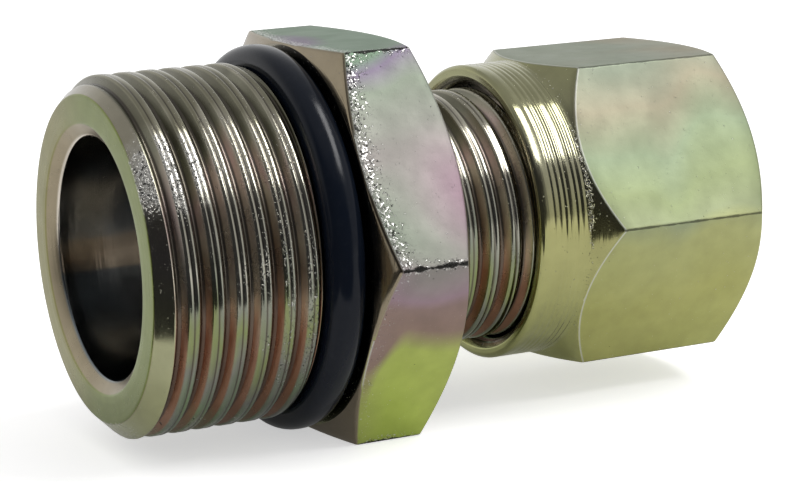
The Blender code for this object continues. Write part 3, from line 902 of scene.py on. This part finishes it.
# %% Film ramps of the body and the nut
BODY_STOPS = {
    "flat": [
        (0.00, (0.41, 0.49, 0.11)),
        (0.27, (0.41, 0.47, 0.13)),
        (0.39, (0.28, 0.20, 0.165)),
        (0.50, (0.285, 0.205, 0.185)),
        (0.56, (0.325, 0.235, 0.27)),
        (0.70, (0.272, 0.273, 0.24)),
        (0.80, (0.23, 0.26, 0.207)),
        (0.90, (0.22, 0.185, 0.245)),
        (0.99, (0.185, 0.255, 0.185)),
    ],
    "turned": [
        (0.00, (0.34, 0.35, 0.17)),
        (0.40, (0.33, 0.33, 0.20)),
        (0.65, (0.29, 0.27, 0.23)),
        (1.00, (0.28, 0.26, 0.20)),
    ],
    # Crest ramp: film colours with a painted highlight from 0.55 to 0.84, where the lamp is mirrored, and
    # painted shade at the top.
    "crest": [
        (0.00, (0.22, 0.22, 0.11)),
        (0.14, (0.17, 0.235, 0.13)),
        (0.24, (0.20, 0.20, 0.17)),
        (0.34, (0.22, 0.25, 0.11)),
        (0.44, (0.23, 0.24, 0.19)),
        (0.55, (0.38, 0.37, 0.31)),
        (0.84, (0.38, 0.36, 0.29)),
        (0.92, (0.22, 0.21, 0.15)),
    ],
    # Flank ramp: film colours with a light middle that is a painted reflection, and painted shade at the top.
    "flank": [
        (0.00, (0.18, 0.17, 0.08)),
        (0.16, (0.24, 0.12, 0.065)),
        (0.34, (0.30, 0.165, 0.11)),
        (0.46, (0.50, 0.40, 0.30)),
        (0.60, (0.62, 0.56, 0.45)),
        (0.70, (0.54, 0.43, 0.385)),
        (0.77, (0.34, 0.31, 0.24)),
        (0.82, (0.22, 0.215, 0.16)),
        (0.90, (0.13, 0.125, 0.09)),
    ],
}
NUT_STOPS = BODY_STOPS | {
    "flat": [
        (0.00, (0.36, 0.37, 0.13)),
        (0.30, (0.40, 0.40, 0.15)),
        (0.46, (0.40, 0.41, 0.185)),
        (0.54, (0.31, 0.345, 0.205)),
        (0.64, (0.295, 0.34, 0.185)),
        (0.75, (0.28, 0.335, 0.22)),
        (0.88, (0.31, 0.285, 0.205)),
        (0.98, (0.265, 0.295, 0.225)),
    ],
    "turned": [
        (0.00, (0.33, 0.35, 0.14)),
        (0.50, (0.35, 0.34, 0.15)),
        (0.75, (0.32, 0.31, 0.22)),
        (1.00, (0.29, 0.29, 0.15)),
    ],
}
body_top, nut_top = body_box[1].z, nut_box[1].z
body_wear = {"burrs": 1.0, "patchiness": 0.8, "rim_film": 0.3}
body_plating = plating("body_plating", body_top, (3, 1, 7), BODY_STOPS, **body_wear)
nut_plating = plating("nut_plating", nut_top, (21, 5, 2), NUT_STOPS, burrs=0.15, lean=0.10)

# %% [markdown]
# ## Fitting body
#
# The body is one bar of hexagon steel, turned at both ends. From the left: the wide bore, the end face, the
# stud with its thread, the groove of the sealing ring, the hexagon with its two chamfers, and the neck with
# its own thread. The outline is followed once round, out over the stud and the neck and back through the
# bore, so that it closes without a pole. It comes in stretches that end at most a tenth of a millimetre
# apart, and one more row of faces sews each to the next. STUD_CREST and NECK_CREST are where one crest of
# each thread passes the side that faces +Y.

# %% Body sizes
PITCH = 1.5
SEAT_FACE = STUD_END + 13.0
NECK_FACE = SEAT_FACE + 6.6
BODY_FLATS = 24.0
SEAT_RADIUS = 11.9
NECK_FACE_RADIUS = 11.4
SEAT_CHAMFER = math.radians(23)
NECK_CHAMFER = math.radians(30)
STUD_RADIUS = 11.0
STUD_ROOT = 10.43
GROOVE_RADIUS = 9.35
GROOVE_WALL = SEAT_FACE - 2.7
RUNOUT_RADIUS = 10.65
WALL_RADIUS = 10.30
WALL_SLOPE = 9.0
BORE_RADIUS = 7.4
BORE_MOUTH_RADIUS = 8.25
BORE_MOUTH_END = STUD_END + 0.6
BORE_BOTTOM = STUD_END + 9.0
DRILL_TIP_END = STUD_END + 11.04
THROUGH_RADIUS = 4.0
NECK_RADIUS = 8.0
NECK_ROOT = 7.43
NECK_RUNOUT = NECK_FACE + 1.3
NECK_RUNOUT_SLOPE = 0.577
NECK_RIM = 7.2
CONE_MOUTH_RADIUS = 6.15
CONE_END = NECK_END - 4.94
SOCKET_RADIUS = 5.1
SOCKET_BOTTOM = NECK_END - 7.0
CREST_FLAT = 0.63
ROOT_FLAT = 0.26
CREST_ROUND = 0.08
STUD_CREST = -19.73
NECK_CREST = 1.37

body_hexagon = hexagon_radius(BODY_FLATS, corner_round=0.22)
seat_edge = SEAT_FACE + (body_hexagon - SEAT_RADIUS) * math.tan(SEAT_CHAMFER)
neck_edge = NECK_FACE - (body_hexagon - NECK_FACE_RADIUS) * math.tan(NECK_CHAMFER)
print("hexagon edges from", round(seat_edge.min(), 2), "to", round(neck_edge.max(), 2), "mm")


# %% Marks of a hexagon
def add_hexagon(surface, rows, rim, hexagon):
    """Adds rows with a hexagon among them, and marks what isn't turned: the six flats.

    A row is on a flat where its radius reaches the hexagon's. There it keeps its distances to the rim that
    the burrs sit on and to the nearest corner."""
    on_flat = (rows[:, 1] > hexagon - 0.03).astype(float)
    from_rim = np.where(on_flat > 0, np.abs(rows[:, 0] - rim), FAR)
    off_corner = np.minimum(ANGLES % (np.pi / 3), np.pi / 3 - ANGLES % (np.pi / 3))
    from_corner = np.where(on_flat > 0, off_corner * hexagon, FAR)
    surface.rings(rows, 1.0 - on_flat, from_rim, from_corner)


# %% Body surface
def stud_cut(x, radius):
    """The 45 degree chamfer at the stud's end, and the small one and the wall at the ring's groove."""
    to_wall = GROOVE_WALL - x
    ends = np.minimum(STUD_RIM + (x - STUD_END), RUNOUT_RADIUS + to_wall)
    return np.minimum(radius, np.minimum(ends, WALL_RADIUS + WALL_SLOPE * to_wall))


def neck_cut(x, radius):
    """The thread rises out of the plain shank, and a 45 degree chamfer ends it."""
    shank = NECK_RADIUS - np.maximum(x - NECK_RUNOUT, 0) * NECK_RUNOUT_SLOPE
    return np.minimum(np.maximum(radius, shank), NECK_RIM + (NECK_END - x))


crest_and_flats = (ROOT_FLAT, CREST_FLAT, CREST_ROUND)
body = Surface()
bore_to_rim = [
    (SOCKET_BOTTOM, THROUGH_RADIUS),
    (DRILL_TIP_END, THROUGH_RADIUS),
    (BORE_BOTTOM, BORE_RADIUS),
    (BORE_MOUTH_END, BORE_RADIUS),
    (STUD_END, BORE_MOUTH_RADIUS),
    (STUD_END, STUD_RIM),
    (STUD_END + 0.05, STUD_RIM + 0.05),
]
body.rings(rounded(bore_to_rim, [0, 0.1, 0.2, 0.05, 0.06, 0.10, 0], [4, 2, 6, 1, 3, 1]))
add_thread(
    body,
    (STUD_END + 0.06, STUD_RIM + 0.06),
    (GROOVE_WALL, WALL_RADIUS),
    PITCH,
    STUD_CREST - PITCH / 2,
    thread_section(PITCH, STUD_ROOT, STUD_RADIUS, *crest_and_flats),
    stud_cut,
    start_band=0.10,
    end_band=0.09,
)
groove_rows = [
    (GROOVE_WALL, WALL_RADIUS - 0.05),
    (GROOVE_WALL, GROOVE_RADIUS),
    (SEAT_FACE, GROOVE_RADIUS),
    (SEAT_FACE, SEAT_RADIUS - 0.3),
]
body.rings(rounded(groove_rows, 0.1, 2))
hexagon_rows = [
    (SEAT_FACE, SEAT_RADIUS - 0.2),
    (SEAT_FACE, SEAT_RADIUS),
    (seat_edge, body_hexagon),
    (neck_edge, body_hexagon),
    (NECK_FACE, NECK_FACE_RADIUS),
    (NECK_FACE, NECK_RADIUS),
    (NECK_RUNOUT - 0.5, NECK_RADIUS),
]
hexagon_rows = rounded(hexagon_rows, [0, 0.05, 0.14, 0.12, 0.16, 0.25, 0], [1, 3, 12, 3, 5, 2])
add_hexagon(body, hexagon_rows, seat_edge, body_hexagon)
add_thread(
    body,
    (NECK_RUNOUT - 0.4, NECK_RADIUS),
    (NECK_END - 0.05, NECK_RIM + 0.05),
    PITCH,
    NECK_CREST - PITCH / 2,
    thread_section(PITCH, NECK_ROOT, NECK_RADIUS, *crest_and_flats),
    neck_cut,
    start_band=0.35,
    end_band=0.07,
)
socket_rows = [
    (NECK_END, NECK_RIM),
    (NECK_END, CONE_MOUTH_RADIUS),
    (CONE_END, SOCKET_RADIUS),
    (SOCKET_BOTTOM, SOCKET_RADIUS),
    (SOCKET_BOTTOM, THROUGH_RADIUS + 0.05),
]
body.rings(rounded(socket_rows, [0, 0.05, 0.05, 0.1, 0], [2, 4, 2, 2]))
body.close()
body_piece = body.piece("plated_body", body_plating)

# %% [markdown]
# ## Union nut
#
# The nut is turned from a smaller hexagon. Its collar shows coarse marks of the turning tool, which catch the
# lamp as a bundle of bright lines, so they are real grooves here and not a bump. Inside, its own thread runs
# in the grooves of the neck's.

# %% Nut sizes
NUT_FLATS = 19.0
COLLAR_RADIUS = 9.43
NUT_END_RADIUS = 9.0
NUT_MOUTH = 8.8
NUT_THREAD_END = NUT_RIM + 8.8
NUT_THREAD_ROOT = 8.1
NUT_THREAD_CREST = 7.55
NUT_THREAD_FLATS = (0.66, 0.20)
POCKET_RADIUS = 7.0
POCKET_END = NUT_RIM + 10.005
HOLE_RADIUS = 5.2
HOLE_START = POCKET_END + (POCKET_RADIUS - HOLE_RADIUS)
HOLE_EDGE = 0.4
NUT_END_CHAMFER = math.radians(35)
COLLAR_CHAMFER = 0.2
UNMARKED_RIM = 0.9
MARK_SPACING = 0.36
MARK_DEPTH = 0.042
MARK_ROWS = 6

nut_hexagon = hexagon_radius(NUT_FLATS, corner_round=0.2)
nut_end_edge = NUT_END - (nut_hexagon - NUT_END_RADIUS) * math.tan(NUT_END_CHAMFER)
collar_edge = COLLAR_END + (nut_hexagon - COLLAR_RADIUS)
print("nut's hexagon from", round(collar_edge.min(), 2), "to", round(nut_end_edge.max(), 2), "mm")


# %% Nut surface
def nut_cut(x, radius):
    """The 45 degree mouth and the run-out before the ring's pocket."""
    mouth = NUT_MOUTH - (x - NUT_RIM)
    return np.minimum(np.maximum(radius, mouth), POCKET_RADIUS + 0.05 + (NUT_THREAD_END - x))


def collar_rows(start, end):
    """The turned collar: every mark is a shallow groove, the radius less its depth times cos squared.

    The depths differ from mark to mark, from a fifth of MARK_DEPTH to all of it."""
    count = int(abs(end - start) / MARK_SPACING)
    places = np.linspace(start, end, count * MARK_ROWS + 1)
    share = np.sin(np.pi * (places - start) / (end - start) * count) ** 2
    mark = np.floor(np.linspace(0, count - 1e-6, count * MARK_ROWS + 1))
    depth = MARK_DEPTH * (0.6 + 0.4 * np.sin(mark * 2.4))
    radius = COLLAR_RADIUS - depth * (1 - share)
    print(count, "turning marks on the collar, up to", MARK_DEPTH, "mm deep")
    return np.stack([np.tile(values[:, None], COLUMNS) for values in (places, radius)], axis=1)


nut_section = (NUT_THREAD_ROOT, NUT_THREAD_CREST, *NUT_THREAD_FLATS)
nut = Surface()
mouth_rows = [(NUT_RIM, NUT_MOUTH + 0.1), (NUT_RIM, NUT_MOUTH), (NUT_RIM + 0.08, NUT_MOUTH - 0.08)]
nut.rings(rounded(mouth_rows, 0.04))
add_thread(
    nut,
    (NUT_RIM + 0.1, NUT_MOUTH - 0.1),
    (NUT_THREAD_END, POCKET_RADIUS + 0.05),
    PITCH,
    NECK_CREST - PITCH,
    thread_section(PITCH, *nut_section, crest_round=0.06, rolled=False),
    nut_cut,
    start_band=0.45,
    end_band=0.12,
)
nut_rows = [
    (NUT_THREAD_END, POCKET_RADIUS),
    (POCKET_END, POCKET_RADIUS),
    (HOLE_START, HOLE_RADIUS),
    (NUT_END - HOLE_EDGE, HOLE_RADIUS),
    (NUT_END, HOLE_RADIUS + HOLE_EDGE),
    (NUT_END, NUT_END_RADIUS),
    (nut_end_edge, nut_hexagon),
    (collar_edge, nut_hexagon),
    (COLLAR_END, COLLAR_RADIUS),
    (COLLAR_END - 0.15, COLLAR_RADIUS),
]
nut_rounds = [0, 0.1, 0.1, 0.05, 0.08, 0.12, 0.12, 0.10, 0.08, 0]
nut_rows = rounded(nut_rows, nut_rounds, [1, 1, 4, 1, 4, 3, 12, 3, 1])
add_hexagon(nut, nut_rows, collar_edge, nut_hexagon)
nut.rings(collar_rows(COLLAR_END - 0.2, NUT_RIM + UNMARKED_RIM + 0.05))
rim_rows = [
    (NUT_RIM + UNMARKED_RIM, COLLAR_RADIUS),
    (NUT_RIM + COLLAR_CHAMFER, COLLAR_RADIUS),
    (NUT_RIM, COLLAR_RADIUS - COLLAR_CHAMFER),
    (NUT_RIM, NUT_MOUTH + 0.15),
]
nut.rings(rounded(rim_rows, 0.08, 2))
nut.close()
nut_piece = nut.piece("plated_nut", nut_plating)

# %% [markdown]
# ## Sealing ring and cutting ring
#
# The sealing ring is a torus whose cord is squeezed a little square by its groove: a superellipse carried
# round the axis. The cutting ring lies in the nut, where only its bore shows through the tube hole, but it is
# modelled whole: nose, 24 degree cone, 45 degree chamfer at the back, and in the bore the relief behind the
# edge that bites the tube.

# %% Sealing ring
CORD_ROWS = 40
CORD_SQUARENESS = 0.85
cord_radius = (seal_box[1].x - seal_box[0].x) / 2
cord_middle = (seal_box[1].x + seal_box[0].x) / 2
ring_radius = seal_box[1].z - AXIS_HEIGHT - cord_radius
around = np.linspace(0, 2 * np.pi, CORD_ROWS, endpoint=False)[:, None]
across_x = np.sign(np.cos(around)) * np.abs(np.cos(around)) ** CORD_SQUARENESS
across_r = np.sign(np.sin(around)) * np.abs(np.sin(around)) ** CORD_SQUARENESS
cord_x = np.broadcast_to(cord_middle - cord_radius * across_x, (CORD_ROWS, COLUMNS))
cord_r = np.broadcast_to(ring_radius + cord_radius * across_r, (CORD_ROWS, COLUMNS))
seal = Surface()
seal.rings(np.stack([cord_x, cord_r], axis=1))
seal.close()
seal_piece = seal.piece("sealing_ring", rubber)

# %% Cutting ring
STEEL_STOPS = [(0.0, (0.36, 0.35, 0.30)), (1.0, (0.44, 0.42, 0.36))]
CUTTER_HOLE = 5.05
CUTTER_NOSE = 5.4
CUTTER_RADIUS = 6.7
CUTTER_CONE = 4.2
CUTTER_HALF_CONE = math.radians(12)
CUTTER_BACK_CHAMFER = 1.1
EDGE_LENGTH = 0.8
RELIEF_LENGTH = 1.8
RELIEF_DEPTH = 0.2

steel_stops = dict.fromkeys(BODY_STOPS, STEEL_STOPS)
ring_steel = plating("ring_steel", body_top, (0, 0, 0), steel_stops, burrs=0.0)
cutter_nose, cutter_back = cutter_box[0].x, cutter_box[1].x
cone_end = cutter_nose + CUTTER_CONE
cone_radius = CUTTER_NOSE + CUTTER_CONE * math.tan(CUTTER_HALF_CONE)
relief_start = cutter_nose + EDGE_LENGTH
relief_end = relief_start + RELIEF_LENGTH
cutter_outline = [
    (relief_start, CUTTER_HOLE),
    (cutter_nose, CUTTER_HOLE),
    (cutter_nose, CUTTER_NOSE),
    (cone_end, cone_radius),
    (cone_end + (CUTTER_RADIUS - cone_radius), CUTTER_RADIUS),
    (cutter_back - CUTTER_BACK_CHAMFER, CUTTER_RADIUS),
    (cutter_back, CUTTER_RADIUS - CUTTER_BACK_CHAMFER),
    (cutter_back, CUTTER_HOLE),
    (relief_end, CUTTER_HOLE),
    (relief_end - RELIEF_DEPTH, CUTTER_HOLE + RELIEF_DEPTH),
    (relief_start + RELIEF_DEPTH, CUTTER_HOLE + RELIEF_DEPTH),
]
cutter = Surface()
cutter.rings(rounded(cutter_outline, [0, 0.03, 0.05, 0.1, 0.1, 0.1, 0.08, 0.05, 0.03, 0.03, 0], 2))
cutter.close()
cutter_piece = cutter.piece("bite_ring", ring_steel)

# %% [markdown]
# ## Riding on the frame
#
# Each piece stands for its CAD node and moves with that node's body.

# %% Ride
for piece, node, group, slot in (
    (body_piece, "fitting_body", "fitting", "yellow_chromate"),
    (seal_piece, "o_ring", "fitting", "black_rubber"),
    (cutter_piece, "cutting_ring", "ring", "ring_steel"),
    (nut_piece, "union_nut", "nut", "yellow_chromate"),
):
    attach(piece, group)
    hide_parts(node)
